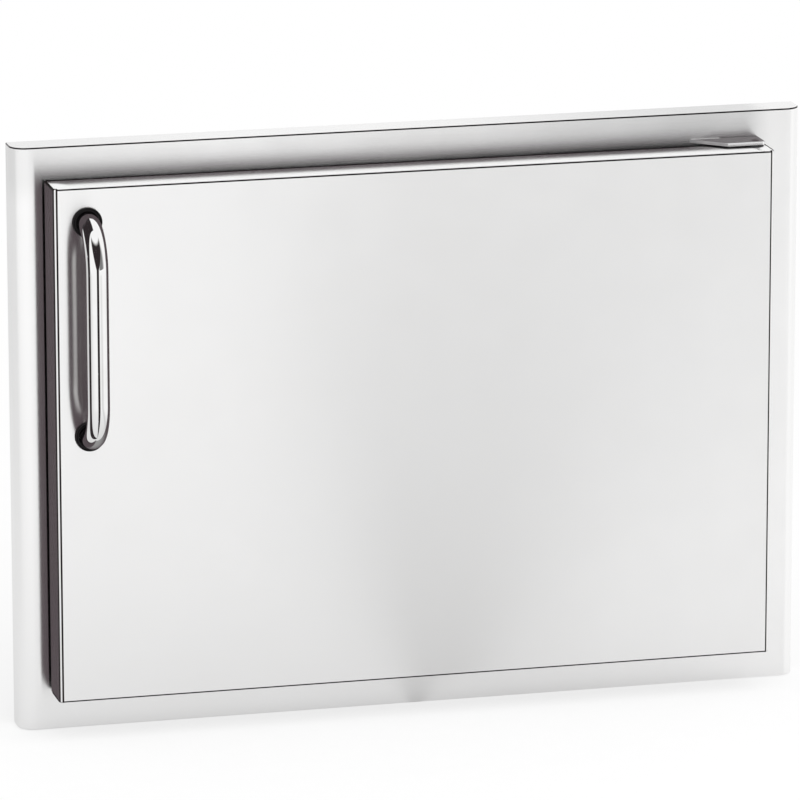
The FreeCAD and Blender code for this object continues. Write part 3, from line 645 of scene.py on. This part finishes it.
def floor_look():
    """Pale floor, white to the camera and to mirrors, with the object's shadow kept."""
    shader = Shader("studio_floor")
    x, y, z = shader.split(shader.place)
    ahead = shader.times(y, -1.0)
    path = shader.add("ShaderNodeLightPath").outputs
    mirror = path["Is Glossy Ray"]
    speck = shader.noise(shader.place, 40.0, 3.0, 0.6)
    shader.set(Base_Color=shader.blend(shader.spread(speck, 0.0, 1.0), grey(0.90), grey(0.92)),
               Roughness=0.9, Specular_IOR_Level=0.0)

    from_bar = shader.heading(shader.minus(x, HANDLE_X), shader.minus(y, BAR_LINE))
    draped = shader.times(drapes(shader, from_bar, 0.0), path["Is Singular Ray"])
    tone = floor_tone(shader, x, y, ahead)
    lit = shader.blend(mirror, WHITE, shader.combine(tone, tone, tone))
    glow = shader.emission(shader.blend(draped, lit, DARK))

    # The share of the glow: the rest is lit by lamp and sky, and so keeps the shadow.
    far = shader.add("ShaderNodeVectorMath", operation="LENGTH")
    shader.join(shader.place, far.inputs[0])
    share = shader.plus(shader.times(shader.step(far.outputs["Value"], 0.5, 1.6), 0.3), 0.7)
    share = shader.times(shader.minus(1.0, path["Is Diffuse Ray"]), share)
    plain = shader.spread(ahead, 0.75, 1.0, 0.3, 1.0)
    share = shader.larger(shader.larger(share, shader.times(mirror, plain)), draped)

    seen = shader.layer(share, shader.surface.outputs[0], glow)
    dim = shader.emission(floor_when_dim(shader, x, y))
    whole = shader.layer(twice_mirrored(shader, path), seen, dim)
    shader.join(whole, shader.tree.nodes["Material Output"].inputs["Surface"])
    return shader.material


FLOOR_HALF = 30.0
FLOOR_HIGH = CAD_BOX[0][2] - 0.5 * MM


def make_floor():
    mesh = bpy.data.meshes.new("studio_floor")
    corners = [(-FLOOR_HALF, -FLOOR_HALF, 0), (FLOOR_HALF, -FLOOR_HALF, 0),
               (FLOOR_HALF, FLOOR_HALF, 0), (-FLOOR_HALF, FLOOR_HALF, 0)]
    mesh.from_pydata(corners, [], [(0, 1, 2, 3)])
    mesh.materials.append(floor_look())
    plane = bpy.data.objects.new("studio_floor", mesh)
    plane.location = (0.0, 0.0, FLOOR_HIGH)
    bpy.context.scene.collection.objects.link(plane)


LAMP_SIDE = 3.0
LAMP_WATTS = 46.0
LAMP_PLACE = Vector((0.6, -1.6, 2.8))


def make_lamp():
    """One wide, soft lamp above the front, turned to the object and unseen by mirrors."""
    light = bpy.data.lights.new("soft_top", "AREA")
    light.shape = "RECTANGLE"
    light.size = light.size_y = LAMP_SIDE
    light.energy = LAMP_WATTS
    holder = bpy.data.objects.new("soft_top", light)
    holder.location = LAMP_PLACE
    holder.rotation_euler = (-LAMP_PLACE).to_track_quat("-Z", "Y").to_euler()
    holder.visible_glossy = False
    bpy.context.scene.collection.objects.link(holder)


class Sky(Shader):
    """The world as a shader."""

    def __init__(self):
        world = bpy.data.worlds.new("studio")
        bpy.context.scene.world = world
        world.use_nodes = True
        self.tree = world.node_tree
        self.surface = self.tree.nodes["Background"]
        self.place = self.add("ShaderNodeTexCoord").outputs["Generated"]


def make_sky():
    """White walls, with a shaded part and dark drapes that only mirrors can see."""
    sky = Sky()
    east, north, up = sky.split(sky.place)
    azimuth = sky.heading(east, north)
    elevation = sky.times(sky.math("ARCSINE", up), DEGREES)
    path = sky.add("ShaderNodeLightPath").outputs
    draped = sky.times(drapes(sky, azimuth, elevation), path["Is Singular Ray"])
    shade = sky.times(sky.window(azimuth, (10.0, 19.0), (45.0, 70.0)),
                      sky.window(elevation, (-3.0, -1.0), (35.0, 60.0)))
    once = sky.blend(draped, sky.blend(shade, WHITE, SHADE), DARK)
    twice = sky.blend(sky.step(north, -0.1, 0.4), DIM_AHEAD, DIM_BEHIND)
    mirrored = sky.blend(twice_mirrored(sky, path), once, twice)
    backdrop = sky.blend(path["Is Glossy Ray"], WHITE, mirrored)
    sky.set(Color=sky.blend(path["Is Diffuse Ray"], backdrop, FILL), Strength=1.0)


CAMERA_PLACE = (-1.19213, -4.67634, 1.19948)
CAMERA_TURN = (76.1015, 0.0591, -14.3270)   # degrees
LENS = 304.933                              # millimetres, as the sensor's width
SENSOR_WIDTH = 36.0


def make_camera():
    data = bpy.data.cameras.new("view")
    data.lens = LENS
    data.sensor_width = SENSOR_WIDTH
    data.clip_end = 100.0
    camera = bpy.data.objects.new("view", data)
    camera.location = CAMERA_PLACE
    camera.rotation_euler = [math.radians(angle) for angle in CAMERA_TURN]
    bpy.context.scene.collection.objects.link(camera)
    bpy.context.scene.camera = camera


make_floor()
make_lamp()
make_sky()
make_camera()

bpy.context.scene.view_settings.view_transform = "Standard"
